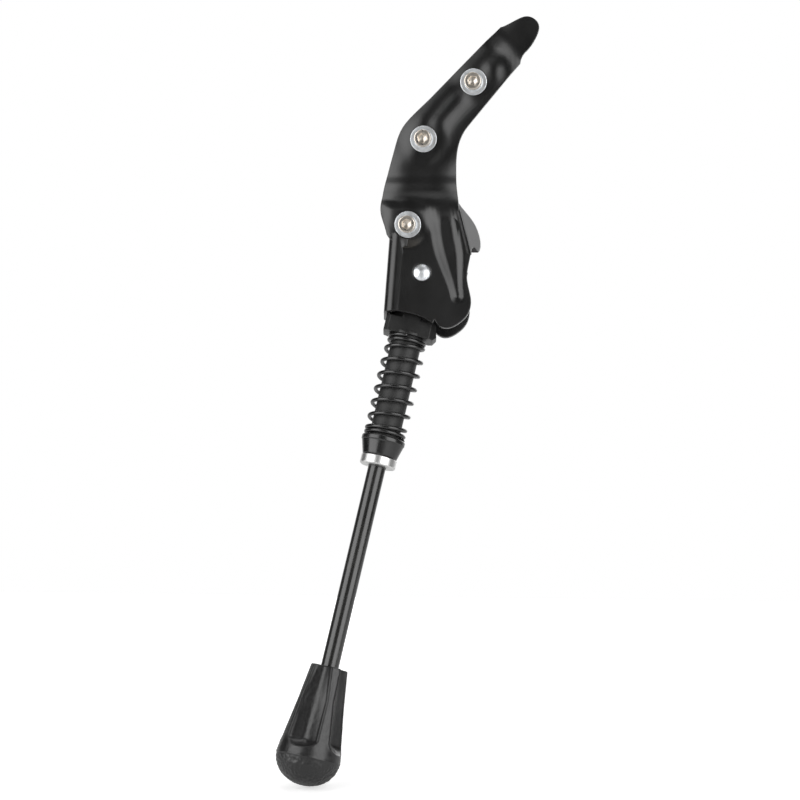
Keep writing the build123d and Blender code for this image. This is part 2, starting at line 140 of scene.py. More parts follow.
# worn rims: where a rounded copy of the normal leaves the face's own
def makeRimGroup():
    group, into, out = newGroup(
        "rimWear",
        [("Radius", "NodeSocketFloat", 0.0006), ("Breakup", "NodeSocketFloat", 0.5),
         ("Spots", "NodeSocketFloat", 260.0)],
        [("Mask", "NodeSocketFloat"), ("Soft Normal", "NodeSocketVector")])
    rounded = addNode(group, "ShaderNodeBevel", samples=6)
    group.links.new(into.outputs["Radius"], rounded.inputs["Radius"])
    own = addNode(group, "ShaderNodeNewGeometry")
    dot = addNode(group, "ShaderNodeVectorMath", operation="DOT_PRODUCT")
    group.links.new(rounded.outputs[0], dot.inputs[0])
    group.links.new(own.outputs["Normal"], dot.inputs[1])
    edge = rampNode(group, dot.outputs["Value"], 0.985, 0.86)
    place = addNode(group, "ShaderNodeTexCoord")
    blots = noiseNode(group, place.outputs["Object"], into.outputs["Spots"], 4.0, 0.6)
    keep = rampNode(group, blots, 0.42, 0.62)
    broken = mathNode(group, "MULTIPLY", edge, keep)
    whole = mathNode(group, "SUBTRACT", 1.0, into.outputs["Breakup"])
    mask = mathNode(group, "MULTIPLY_ADD", broken, into.outputs["Breakup"])
    group.links.new(mathNode(group, "MULTIPLY", edge, whole), mask.node.inputs[2])
    group.links.new(mask, out.inputs["Mask"])
    group.links.new(rounded.outputs[0], out.inputs["Soft Normal"])
    return group


# fine skin: orange peel or moulded grain, as a height and a slow drift
def makeGrainGroup():
    group, into, out = newGroup(
        "skinGrain",
        [("Fine", "NodeSocketFloat", 1800.0), ("Coarse", "NodeSocketFloat", 90.0),
         ("Balance", "NodeSocketFloat", 0.5)],
        [("Height", "NodeSocketFloat"), ("Drift", "NodeSocketFloat"), ("Speckle", "NodeSocketFloat")])
    place = addNode(group, "ShaderNodeTexCoord")
    fine = noiseNode(group, place.outputs["Object"], into.outputs["Fine"], 2.0, 0.55)
    coarse = noiseNode(group, place.outputs["Object"], into.outputs["Coarse"], 3.0, 0.5)
    drift = rampNode(group, coarse, 0.3, 0.7)
    rest = mathNode(group, "SUBTRACT", 1.0, into.outputs["Balance"])
    height = mathNode(group, "MULTIPLY_ADD", fine, into.outputs["Balance"])
    group.links.new(mathNode(group, "MULTIPLY", drift, rest), height.node.inputs[2])
    group.links.new(height, out.inputs["Height"])
    group.links.new(drift, out.inputs["Drift"])
    group.links.new(rampNode(group, fine, 0.35, 0.68), out.inputs["Speckle"])
    return group


# turning marks: close rings square to the leg
def makeTurningGroup():
    group, into, out = newGroup(
        "turningMarks",
        [("Pitch", "NodeSocketFloat", 2400.0), ("Axis", "NodeSocketVector", tuple(legUp))],
        [("Height", "NodeSocketFloat"), ("Streak", "NodeSocketFloat")])
    place = addNode(group, "ShaderNodeTexCoord")
    along = addNode(group, "ShaderNodeVectorMath", operation="DOT_PRODUCT")
    group.links.new(place.outputs["Object"], along.inputs[0])
    group.links.new(into.outputs["Axis"], along.inputs[1])
    line = addNode(group, "ShaderNodeCombineXYZ")
    group.links.new(along.outputs["Value"], line.inputs[0])
    rings = noiseNode(group, line.outputs[0], into.outputs["Pitch"], 2.0, 0.7)
    group.links.new(rings, out.inputs["Height"])
    group.links.new(rampNode(group, rings, 0.3, 0.7), out.inputs["Streak"])
    return group


rimWear = makeRimGroup()
skinGrain = makeGrainGroup()
turningMarks = makeTurningGroup()


def placeGroup(tree, group, **values):
    node = addNode(tree, "ShaderNodeGroup", node_tree=group)
    for key, value in values.items():
        node.inputs[key.replace("_", " ")].default_value = value
    return node


def newMaterial(name):
    material = bpy.data.materials.new(name)
    material.use_nodes = True
    return material, material.node_tree, material.node_tree.nodes["Principled BSDF"]


# grain as a bump over the softened rims
def addBump(tree, shader, height, rim, strength, depth):
    bump = addNode(tree, "ShaderNodeBump")
    bump.inputs["Strength"].default_value = strength
    bump.inputs["Distance"].default_value = depth
    tree.links.new(height, bump.inputs["Height"])
    tree.links.new(rim.outputs["Soft Normal"], bump.inputs["Normal"])
    tree.links.new(bump.outputs[0], shader.inputs["Normal"])


# paints, plastics and rubber, in linear colour
coatSet = dict(breakup=0.65, bumpDepth=0.0003, shine=0.5)
finishes = {
    "satinBlackCoat": dict(
        color=(0.0026, 0.0026, 0.0025), lift=(0.0045, 0.0045, 0.0044), worn=(0.05, 0.049, 0.047),
        rough=(0.28, 0.33), fine=1500.0, coarse=70.0, balance=0.6, bump=0.012, rim=0.0007, wear=0.55,
        shine=0.8),
    "castBlackCoat": dict(
        color=(0.009, 0.009, 0.009), lift=(0.014, 0.014, 0.014), worn=(0.06, 0.06, 0.058), rough=(0.5, 0.62),
        fine=900.0, coarse=120.0, balance=0.8, bump=0.12, rim=0.0008, wear=0.5, shine=0.6),
    "tubeGrey": dict(
        color=(0.008, 0.008, 0.0078), lift=(0.012, 0.012, 0.0115), worn=(0.06, 0.06, 0.06),
        rough=(0.52, 0.62), fine=1700.0, coarse=80.0, balance=0.7, bump=0.03, rim=0.0005, wear=0.3,
        shine=0.7),
    "collarPlastic": dict(
        color=(0.0045, 0.0045, 0.0044), lift=(0.0075, 0.0075, 0.0072), worn=(0.06, 0.06, 0.058),
        rough=(0.36, 0.46), fine=1300.0, coarse=100.0, balance=0.8, bump=0.07, rim=0.0007, wear=0.35,
        shine=0.58),
    "seatBlack": dict(
        color=(0.0045, 0.0045, 0.0045), lift=(0.0075, 0.0075, 0.0074), worn=(0.05, 0.05, 0.05),
        rough=(0.22, 0.3), fine=1600.0, coarse=90.0, balance=0.7, bump=0.03, rim=0.0005, wear=0.4,
        shine=0.85),
    "springEnamel": dict(
        color=(0.006, 0.006, 0.006), lift=(0.010, 0.010, 0.010), worn=(0.04, 0.04, 0.04), rough=(0.2, 0.3),
        fine=1800.0, coarse=150.0, balance=0.6, bump=0.02, rim=0.0003, wear=0.25, shine=0.85),
    "rodEnamel": dict(
        color=(0.013, 0.0128, 0.0120), lift=(0.019, 0.0186, 0.0176), worn=(0.035, 0.035, 0.035),
        rough=(0.16, 0.24), fine=1200.0, coarse=60.0, balance=0.5, bump=0.015, rim=0.0004, wear=0.2,
        shine=0.9),
    "footRubber": dict(
        color=(0.0055, 0.0055, 0.0056), lift=(0.0105, 0.0105, 0.0106), worn=(0.07, 0.07, 0.068),
        rough=(0.28, 0.42), fine=1100.0, coarse=110.0, balance=0.75, bump=0.08, rim=0.0006, wear=0.4,
        shine=0.72, spread="Speckle"),
    "washerPlastic": dict(
        color=(0.72, 0.71, 0.68), lift=(0.8, 0.79, 0.76), worn=(0.85, 0.84, 0.8), rough=(0.45, 0.55),
        fine=1400.0, coarse=90.0, balance=0.7, bump=0.03, rim=0.0004, wear=0.2),
}


def makeCoat(name):
    look = finishes[name]
    material, tree, shader = newMaterial(name)
    grain = placeGroup(tree, skinGrain, Fine=look["fine"], Coarse=look["coarse"], Balance=look["balance"])
    rim = placeGroup(tree, rimWear, Radius=look["rim"], Breakup=coatSet["breakup"])
    body = mixColor(tree, grain.outputs["Drift"], look["color"] + (1,), look["lift"] + (1,))
    mask = mathNode(tree, "MULTIPLY", rim.outputs["Mask"], look["wear"])
    tree.links.new(mixColor(tree, mask, body, look["worn"] + (1,)), shader.inputs["Base Color"])
    shader.inputs["Specular IOR Level"].default_value = look.get("shine", coatSet["shine"])
    low, high = look["rough"]
    spread = grain.outputs[look.get("spread", "Drift")]
    tree.links.new(rampNode(tree, spread, 0.0, 1.0, low, high), shader.inputs["Roughness"])
    addBump(tree, shader, grain.outputs["Height"], rim, look["bump"], coatSet["bumpDepth"])
    return material


# plated and bare metals
metalSet = dict(rim=0.0004, breakup=0.3, coarse=220.0, balance=0.6, bumpDepth=0.0002)
metals = {
    "zincPlate": dict(
        color=(0.80, 0.83, 0.86), lift=(0.90, 0.92, 0.94), rough=(0.34, 0.46), fine=1500.0, bump=0.02),
    "nickelPlate": dict(
        color=(0.76, 0.69, 0.60), lift=(0.88, 0.82, 0.74), rough=(0.24, 0.36), fine=1300.0, bump=0.02),
    "blackOxide": dict(
        color=(0.05, 0.05, 0.052), lift=(0.08, 0.08, 0.08), rough=(0.3, 0.42), fine=1500.0, bump=0.05),
    "turnedAluminium": dict(
        color=(0.78, 0.78, 0.77), lift=(0.88, 0.88, 0.87), rough=(0.30, 0.42), fine=2600.0, bump=0.06),
}


def makeMetal(name, turned=False):
    look, s = metals[name], metalSet
    material, tree, shader = newMaterial(name)
    shader.inputs["Metallic"].default_value = 1.0
    rim = placeGroup(tree, rimWear, Radius=s["rim"], Breakup=s["breakup"])
    if turned:
        marks = placeGroup(tree, turningMarks, Pitch=look["fine"])
        height, drift = marks.outputs["Height"], marks.outputs["Streak"]
    else:
        marks = placeGroup(tree, skinGrain, Fine=look["fine"], Coarse=s["coarse"], Balance=s["balance"])
        height, drift = marks.outputs["Height"], marks.outputs["Drift"]
    plate = mixColor(tree, drift, look["color"] + (1,), look["lift"] + (1,))
    tree.links.new(plate, shader.inputs["Base Color"])
    low, high = look["rough"]
    tree.links.new(rampNode(tree, drift, 0.0, 1.0, high, low), shader.inputs["Roughness"])
    addBump(tree, shader, height, rim, look["bump"], s["bumpDepth"])
    return material


looks = {name: makeCoat(name) for name in finishes}
for name in metals:
    looks[name] = makeMetal(name, turned=name == "turnedAluminium")
print("materials made:", len(looks))

# which finish each CAD node wears
nodeFinish = {
    "bracket": "satinBlackCoat", "counter_plate": "castBlackCoat", "pivot_rivet": "zincPlate",
    "thrust_washer_outer": "washerPlastic", "thrust_washer_inner": "washerPlastic", "leg_tube": "tubeGrey",
    "spring_seat": "seatBlack", "end_ring": "turnedAluminium", "set_screw": "blackOxide",
    "spring_collar": "collarPlastic", "spring": "springEnamel", "leg_rod": "rodEnamel",
    "rubber_foot": "footRubber",
}
for place in ("upper", "middle", "lower"):
    nodeFinish[place + "_bolt"] = "nickelPlate"
    nodeFinish[place + "_flat_washer"] = "zincPlate"
    nodeFinish[place + "_lock_washer"] = "zincPlate"
for name, finish in nodeFinish.items():
    slots = nodes[name].material_slots
    if not slots:
        nodes[name].data.materials.append(looks[finish])
    for one in slots:
        one.material = looks[finish]
print("finishes set on the CAD nodes")


# new pieces

def addPiece(name, verts, faces, finish, matrix):
    mesh = bpy.data.meshes.new(name)
    mesh.from_pydata(verts, [], faces)
    mesh.validate()
    mesh.polygons.foreach_set("use_smooth", [True] * len(mesh.polygons))
    piece = bpy.data.objects.new(name, mesh)
    bpy.context.scene.collection.objects.link(piece)
    mesh.materials.append(looks[finish])
    mesh.transform(matrix)
    return piece


# polar grid: rows of points round an axis, capped at either end or run back to the first row
def polarFaces(rows, around, capFirst=False, capLast=False, wrap=False):
    faces = []
    for i in range(rows if wrap else rows - 1):
        j = (i + 1) % rows
        for k in range(around):
            n = (k + 1) % around
            faces.append((i * around + k, i * around + n, j * around + n, j * around + k))
    if capFirst:
        faces.append(tuple(reversed(range(around))))
    if capLast:
        faces.append(tuple(range((rows - 1) * around, rows * around)))
    return faces


# a closed profile whose corners are turned in small arcs, with a holding point at each side
def softProfile(points, radius, steps=4):
    out = []
    for i, point in enumerate(points):
        here = Vector(point)
        before, after = Vector(points[i - 1]) - here, Vector(points[(i + 1) % len(points)]) - here
        reach = min(radius, 0.45 * before.length, 0.45 * after.length)
        start, end = here + before.normalized() * reach, here + after.normalized() * reach
        out.append(tuple(here + before.normalized() * min(reach * 1.4, before.length * 0.49)))
        for k in range(steps + 1):
            t = k / steps
            out.append(tuple(start * (1 - t) ** 2 + here * 2 * t * (1 - t) + end * t ** 2))
        out.append(tuple(here + after.normalized() * min(reach * 1.4, after.length * 0.49)))
    return out


def lathe(name, profile, finish, matrix, around=96):
    verts = []
    for r, z in profile:
        for k in range(around):
            a = 2 * math.pi * k / around
            verts.append((r * math.cos(a) * mm, r * math.sin(a) * mm, z * mm))
    return addPiece(name, verts, polarFaces(len(profile), around, wrap=True), finish, matrix)


def finishPiece(piece, body, node, sharp=None):
    mesh = piece.data
    shell = bmesh.new()
    shell.from_mesh(mesh)
    bmesh.ops.recalc_face_normals(shell, faces=shell.faces)
    shell.to_mesh(mesh)
    shell.free()
    if sharp:
        mesh.set_sharp_from_angle(angle=math.radians(sharp))
    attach(piece, body)
    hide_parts(node)
    return piece


# where the three clamp bolts seat on the bracket
boltSeats = {"upper": (28.6, -10.5, 53.0), "middle": (3.8, -10.5, 25.1), "lower": (-3.6, -14.6, -17.3)}

# pressed bracket: the solid's skin, its formed faces cut fine and laid on the drawn shape
sheetSet = dict(
    armFace=-10.5, archRise=2.6, archHalf=9.0, archAt=0.4, neckMid=2.0, neckFlat=6.0, neckRoll=0.014,
    rollTop=22.0, rollRun=12.0, rollLow=9.0, rollEnd=6.0, rampTop=-2.0, rampLength=9.5, kneeAt=-15.0,
    boxFace=13.0, joggleDepth=3.4, joggleLength=11.0, joggleLine=[(41.1, 80.1), (52.3, 65.3)],
    padRadius=dict(upper=5.0, middle=5.0, lower=7.0), padSkim=0.1, padBlend=5.5,
    foldEdge=-14.0, foldIn=4.4, foldFrom=-5.0, foldRun=6.0, facetRadius=9.0, rollRadius=5.0,
    rollFrom=-15.0, rollTurn=7.0, foldFade=5.0, foldDive=0.5, diveEdge=-9.6, diveFrom=-20.5, diveRun=2.0,
    armFrom=8.0, tipFrom=61.0, thick=2.6, fine=0.9, washerRoom=7.2, slopeStep=0.2, agree=0.2, crease=32,
    bendAt=(-20.0, -12.0, 4.0, 16.0), bends=(0.9, 1.8, 1.8, 2.4))
grooveSet = dict(
    depth=2.3, left=6.5, right=8.5, lean=0.15, leanFrom=4.0, endDrop=3.0, endRun=10.0,
    line=[(39.0, 61.6), (36.5, 58.3), (23.3, 46.9), (15.9, 39.5), (10.1, 32.2), (6.4, 22.0), (5.4, 13.0)])
valleySet = dict(
    depth=1.8, lowDepth=0.95, left=6.9, right=6.0, low=2.5, lateFrom=0.45, floor=0.52, start=-5.0, fade=10.0,
    line=[(13.2, -7.0), (16.0, -24.7), (17.9, -33.1), (21.4, -53.0)])


def ease(t):
    t = np.clip(t, 0.0, 1.0)
    return t * t * (3 - 2 * t)


def hump(t):
    return np.where(np.abs(t) < 1, np.cos(np.pi * t / 2) ** 2, 0.0)


# height along a bent line, and the signed distance from it
def lineOffset(x, z, line):
    level = off = None
    for (ax, az), (bx, bz) in zip(line, line[1:]):
        ux, uz = bx - ax, bz - az
        share = np.clip(((x - ax) * ux + (z - az) * uz) / (ux * ux + uz * uz), 0.0, 1.0)
        away = np.hypot(x - ax - share * ux, z - az - share * uz)
        away = np.where(ux * (z - az) - uz * (x - ax) > 0, away, -away)
        here = az + uz * share
        if level is None:
            level, off = here, away
        nearer = np.abs(away) < np.abs(off)
        level, off = np.where(nearer, here, level), np.where(nearer, away, off)
    return level, off


def grooveDrop(x, z):
    g = grooveSet
    off = lineOffset(x, z, g["line"])[1]
    (ax, az), (bx, bz) = g["line"][:2]
    ux, uz = (bx - ax) / math.hypot(bx - ax, bz - az), (bz - az) / math.hypot(bx - ax, bz - az)
    beyond = (x - ax) * ux + (z - az) * uz < 0
    straight = ux * (z - az) - uz * (x - ax)
    share = np.where(beyond, 0.5 + 0.5 * straight / np.maximum(np.abs(off), 1e-6), off > 0)
    shape = hump(off / g["left"]) * (1 - share) + np.maximum(0.0, 1 - np.abs(off) / g["right"]) * share
    lean = g["lean"] * np.maximum(0.0, -np.where(beyond, straight, off) - g["leanFrom"])
    return (g["depth"] * shape + lean) * ease((z - g["line"][-1][1] + g["endDrop"]) / g["endRun"])


def valleyDrop(x, z):
    v = valleySet
    level, off = lineOffset(x, z, v["line"])
    top, end = v["line"][0][1], v["line"][-1][1]
    late = ease(((top - level) / (top - end) - v["lateFrom"]) / (1 - v["lateFrom"]))
    side = np.where(off < 0, v["left"], v["right"])
    half = side + (v["low"] - side) * late
    shape = np.clip((1 - np.abs(off) / half) / (1 - v["floor"]), 0.0, 1.0)
    depth = v["depth"] + (v["lowDepth"] - v["depth"]) * late
    return depth * shape * ease((v["start"] - z) / v["fade"])


def crispFace(x, z):
    s = sheetSet
    face = pivot / mm - pinIn * s["boxFace"]
    edge = np.maximum(0.0, np.abs(x - s["neckMid"]) - s["neckFlat"])
    y = s["armFace"] - s["archRise"] * hump((z - s["archAt"]) / s["archHalf"])
    held = ease((s["rollTop"] - z) / s["rollRun"]) * ease((z + s["rollLow"]) / s["rollEnd"])
    y = y + s["neckRoll"] * edge ** 2 * held
    plane = face.y - (pinIn.x * (x - face.x) + pinIn.z * (np.minimum(z, s["kneeAt"]) - face.z)) / pinIn.y
    y = y + (plane - y) * ease((s["rampTop"] - z) / s["rampLength"])
    y = y + valleyDrop(x, z) + grooveDrop(x, z)
    (ax, az), (bx, bz) = s["joggleLine"]
    run = ((x - ax) * (az - bz) + (z - az) * (bx - ax)) / math.hypot(bx - ax, bz - az)
    y = y + s["joggleDepth"] * ease((run + s["joggleLength"]) / s["joggleLength"])
    for place, (px, seat, pz) in boltSeats.items():
        flat = seat - s["padSkim"]
        y = flat + (y - flat) * ease((np.hypot(x - px, z - pz) - s["padRadius"][place]) / s["padBlend"])
    rolled = np.maximum(0.0, s["foldEdge"] + s["foldIn"] * ease((s["foldFrom"] - z) / s["foldRun"]) - x)
    r = s["facetRadius"] + (s["rollRadius"] - s["facetRadius"]) * ease((s["rollFrom"] - z) / s["rollTurn"])
    y = y + np.minimum(rolled, r) ** 2 / (2 * r) * ease((s["rampTop"] - z) / s["foldFade"])
    dive = ease((s["diveEdge"] - x) / s["diveRun"]) * ease((s["diveFrom"] - z) / s["diveRun"])
    return y + s["foldDive"] * dive


# crisp valley edges, softer bends up the arm
def drawnFace(x, z):
    bend = np.interp(z, sheetSet["bendAt"], sheetSet["bends"])
    steps = (-bend, 0.0, bend)
    return sum(crispFace(x + i, z + j) for i in steps for j in steps) / 9


def buildBracket():
    s = sheetSet
    source = nodes["bracket"]
    shell = bmesh.new()
    shell.from_mesh(source.data)
    shell.transform(source.matrix_world)
    tag = shell.faces.layers.int.new("formed")
    # the two formed faces are the largest separate skins of the solid
    skins, seen = [], set()
    for first in shell.faces:
        if first in seen:
            continue
        skin, waiting = [], [first]
        seen.add(first)
        while waiting:
            face = waiting.pop()
            skin.append(face)
            near = [other for v in face.verts for other in v.link_faces if other not in seen]
            seen.update(near)
            waiting.extend(dict.fromkeys(near))
        skins.append(skin)
    skins.sort(key=lambda skin: -sum(face.calc_area() for face in skin))
    for skin in skins[:2]:
        back = sum(face.normal.y * face.calc_area() for face in skin) > 0
        for face in skin:
            if not back or face.calc_center_median().z > s["armFrom"] * mm:
                face[tag] = 2 if back else 1
    bmesh.ops.remove_doubles(shell, verts=shell.verts, dist=2e-6)
    # the tip's edge runs straight from the front skin to the back one
    tip = [(v, {face[tag] for face in v.link_faces}) for v in shell.verts if v.co.z > s["tipFrom"] * mm]
    rims = [v for v, kinds in tip if 0 in kinds and len(kinds) > 1]
    loose = [v for v, kinds in tip if kinds == {0}]
    print("tip edge:", len(rims), "rim points,", len(loose), "drawn in")
    nearest = {v: min(rims, key=lambda rim: (rim.co - v.co).length) for v in loose}
    bmesh.ops.weld_verts(shell, targetmap=nearest)
    for go in range(5):
        long = [edge for edge in shell.edges
                if edge.calc_length() > s["fine"] * mm and any(face[tag] for face in edge.link_faces)]
        if not long:
            break
        bmesh.ops.subdivide_edges(shell, edges=long, cuts=1)
        bmesh.ops.triangulate(shell, faces=[face for face in shell.faces if len(face.verts) > 3])
    spots = np.array([v.co for v in shell.verts]) / mm
    bolted = np.zeros(len(spots), dtype=bool)
    for px, seat, pz in boltSeats.values():
        bolted |= np.hypot(spots[:, 0] - px, spots[:, 2] - pz) < s["washerRoom"]
    for v, spot, y, close in zip(list(shell.verts), spots, drawnFace(spots[:, 0], spots[:, 2]), bolted):
        kinds = {face[tag] for face in v.link_faces}
        free = spot[2] > s["armFrom"] and not close
        if 1 in kinds and (kinds == {1} or free):
            v.co.y = y * mm
        elif 2 in kinds and free:
            v.co.y = (y + s["thick"]) * mm
    mesh = bpy.data.meshes.new("pressed_bracket")
    shell.to_mesh(mesh)
    shell.free()
    if "custom_normal" in mesh.attributes:
        mesh.attributes.remove(mesh.attributes["custom_normal"])
    mesh.polygons.foreach_set("use_smooth", [True] * len(mesh.polygons))
    mesh.set_sharp_from_angle(angle=math.radians(s["crease"]))
    # shade the formed face by the drawn shape's own slope
    formed = np.array([item.value for item in mesh.attributes["formed"].data])
    starts = np.empty(len(mesh.loops), dtype=np.int32)
    mesh.loops.foreach_get("vertex_index", starts)
    spots = np.empty(len(mesh.vertices) * 3)
    mesh.vertices.foreach_get("co", spots)
    spots = spots.reshape(-1, 3) / mm
    x, z, h = spots[:, 0], spots[:, 2], s["slopeStep"]
    slopeX = (drawnFace(x + h, z) - drawnFace(x - h, z)) / (2 * h)
    slopeZ = (drawnFace(x, z + h) - drawnFace(x, z - h)) / (2 * h)
    normals = np.stack([slopeX, -np.ones(len(x)), slopeZ], axis=1)
    normals /= np.linalg.norm(normals, axis=1)[:, None]
    facing = np.empty(len(mesh.polygons) * 3)
    mesh.polygons.foreach_get("normal", facing)
    turn = np.array([0.0, 1.0, -1.0])[formed]
    agree = np.sum(facing.reshape(-1, 3) * normals[starts[::3]], axis=1) * turn > s["agree"]
    corner = normals[starts] * np.repeat(turn * agree, 3)[:, None]
    mesh.normals_split_custom_set([tuple(n) for n in corner])
    mesh.attributes.remove(mesh.attributes["formed"])
    mesh.materials.clear()
    mesh.materials.append(looks["satinBlackCoat"])
    piece = bpy.data.objects.new("pressed_bracket", mesh)
    bpy.context.scene.collection.objects.link(piece)
    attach(piece, "clamp")
    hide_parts("bracket")
    print("bracket pressed:", len(mesh.polygons), "faces,", int((formed > 0).sum()), "on the formed faces")


buildBracket()

# coil spring between the collar and the seat
springSet = dict(
    top=30.92, bottom=82.78, wire=1.0, radius=9.3, topRadius=8.7, belly=0.35, closedTurns=1.75,
    closedGap=0.06, drawTurns=1.5, activeTurns=6.25, stepsPerTurn=44, around=16, travel=9.0)


def buildSpring():
    s = springSet
    turns = 2 * s["closedTurns"] + s["activeTurns"]
    closedPitch = 2 * s["wire"] + s["closedGap"]
    active = s["bottom"] - s["top"] - s["wire"] - 2 * s["closedTurns"] * closedPitch
    count = round(turns * s["stepsPerTurn"])
    verts = []
    for i in range(count + 1):
        turn = turns * i / count
        into = min(max(turn - s["closedTurns"], 0.0), s["activeTurns"])
        height = -s["bottom"] + s["wire"] * 0.5 + (turn - into) * closedPitch
        height += active * into / s["activeTurns"]
        radius = s["radius"] + s["belly"] * math.sin(math.pi * turn / turns)
        draw = min(max((turn - turns + s["closedTurns"] + 1) / s["drawTurns"], 0.0), 1.0)
        radius += (s["topRadius"] - radius) * draw * draw * (3 - 2 * draw)
        angle = 2 * math.pi * turn
        for k in range(s["around"]):
            a = 2 * math.pi * k / s["around"]
            r = radius + s["wire"] * math.cos(a)
            z = min(max(height + s["wire"] * math.sin(a), -s["bottom"]), -s["top"])
            verts.append((r * math.cos(angle) * mm, r * math.sin(angle) * mm, z * mm))
    faces = polarFaces(count + 1, s["around"], True, True)
    piece = addPiece("coil_spring", verts, faces, "springEnamel", legMatrix)
    finishPiece(piece, "leg", "spring")
    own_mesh(piece)


buildSpring()
print("spring wound")

# moulded foot: flutes with a raised rim, a parting line and a pebbled end
footSet = dict(
    top=198.0, length=58.0, topRadius=9.0, maxRadius=15.8, maxAt=44.0, shoulder=2.0, bulge=0.3,
    bulgeShare=0.22, roundness=2.35, bevel=0.6, mouth=1.2, flutes=4, turn=-20.0, topHalf=4.3, midHalf=7.0,
    midAt=17.0, lowHalf=7.9, fluteEnd=40.3, corner=6.8, topDepth=3.1, lowDepth=5.6, edge=0.9, step=0.55,
    bowl=2.0, endFall=1.5, rim=0.12, rimAt=0.75, rimWidth=0.45, seam=0.3, seamDrop=0.4, seamWidth=0.3,
    pebble=0.6, pebbleScale=700.0, pebbleFrom=0.5, pebbleRun=2.5, skin=0.05, skinScale=420.0, fineSkin=0.03,
    fineScale=1300.0, bore=4.37, around=360, rows=150)


def footRadius(at):
    s = footSet
    coneEnd = s["maxAt"] - s["shoulder"]
    if at <= coneEnd:
        return s["topRadius"] + (s["maxRadius"] - s["bulge"] - s["topRadius"]) * at / coneEnd
    t = (at - coneEnd) / (s["length"] - coneEnd)
    bulge = s["bulge"] * math.sin(min(t / s["bulgeShare"], 1.0) * math.pi / 2)
    return (s["maxRadius"] - s["bulge"] + bulge) * math.sqrt(max(0.0, 1 - t ** s["roundness"]))


def fluteDepth(angle, at, radius):
    s = footSet
    share = min(max(at / s["fluteEnd"], 0.0), 1.0)
    if at < s["midAt"]:
        half = s["topHalf"] + (s["midHalf"] - s["topHalf"]) * at / s["midAt"]
    else:
        half = s["midHalf"] + (s["lowHalf"] - s["midHalf"]) * (at - s["midAt"]) / (s["fluteEnd"] - s["midAt"])
    sector = 2 * math.pi / s["flutes"]
    away = (angle - math.radians(s["turn"] - 90) + sector / 2) % sector - sector / 2
    side, end = half - abs(radius * math.sin(away)), (s["fluteEnd"] - at) * s["endFall"]
    inside = min(side, end)
    if side < s["corner"] and end < s["corner"]:
        inside = s["corner"] - math.hypot(s["corner"] - side, s["corner"] - end)
    depth = s["topDepth"] + (s["lowDepth"] - s["topDepth"]) * share
    t = min(max(inside / s["edge"], 0.0), 1.0)
    lip = s["rim"] * math.exp(-((inside + s["rimAt"]) / s["rimWidth"]) ** 2)
    bowl = 1 - (1 - min(max(inside / half, 0.0), 1.0)) ** s["bowl"]
    return s["step"] * t * t * (3 - 2 * t) + (depth - s["step"]) * bowl - lip


def buildFoot():
    s = footSet
    count = s["around"]
    angles = [2 * math.pi * k / count for k in range(count)]
    verts = [(s["bore"] * math.cos(angle), s["bore"] * math.sin(angle), 0.0) for angle in angles]
    # close rows round the top edge, then even ones down to the end
    rows = [0.0, 0.0, 0.12, 0.3, 0.6]
    rows += [0.9 + (s["length"] - 0.95) * i / s["rows"] for i in range(s["rows"] + 1)]
    for i, at in enumerate(rows):
        base = footRadius(at)
        if at < s["bevel"]:
            base -= s["bevel"] - math.sqrt(max(0.0, s["bevel"] ** 2 - (s["bevel"] - at) ** 2))
        if i == 0:
            base -= s["mouth"]
        low = min(max((at - s["maxAt"] - s["pebbleFrom"]) / s["pebbleRun"], 0.0), 1.0)
        for angle in angles:
            r = base - fluteDepth(angle, at, base)
            r += s["seam"] * math.exp(-((at - s["maxAt"] - s["seamDrop"]) / s["seamWidth"]) ** 2)
            spot = Vector((r * math.cos(angle), r * math.sin(angle), -at)) * mm
            cells = noise.voronoi(spot * s["pebbleScale"])[0]
            grain = s["pebble"] * low * (0.5 - cells[0]) * min(1.0, base / 5)
            grain += s["skin"] * noise.noise(spot * s["skinScale"])
            grain += s["fineSkin"] * noise.noise(spot * s["fineScale"])
            r = max(r + grain, 0.02)
            verts.append((r * math.cos(angle), r * math.sin(angle), -at - 0.3 * grain * low))
    verts = [(x * mm, y * mm, (z - s["top"]) * mm) for x, y, z in verts]
    faces = polarFaces(len(rows) + 1, count, False, True)
    piece = addPiece("moulded_foot", verts, faces, "footRubber", legMatrix)
    finishPiece(piece, "rod", "rubber_foot")


buildFoot()
print("foot moulded")

# clamp hardware: socket-head bolts with knurled heads, flat washers and split washers
boltSet = dict(
    headRadius=4.25, headHeight=5.0, fillet=0.55, teeth=42, toothDepth=0.11, perTooth=4, socketFlats=4.0,
    socketDepth=2.6, shank=2.5, length=30.0, pitch=0.8, threadDepth=0.3, threadRun=3.0, threadAround=48,
    stepsPerPitch=6, pointRun=1.2, pointShare=0.18, lift=2.2, sharp=38)
washerSet = dict(
    outer=6.6, inner=2.65, thick=1.0, splitOuter=4.6, splitThick=1.2, gap=0.8, slant=0.35, rise=0.12,
    edge=0.32, splitEdge=0.2, steps=90, sharp=50)


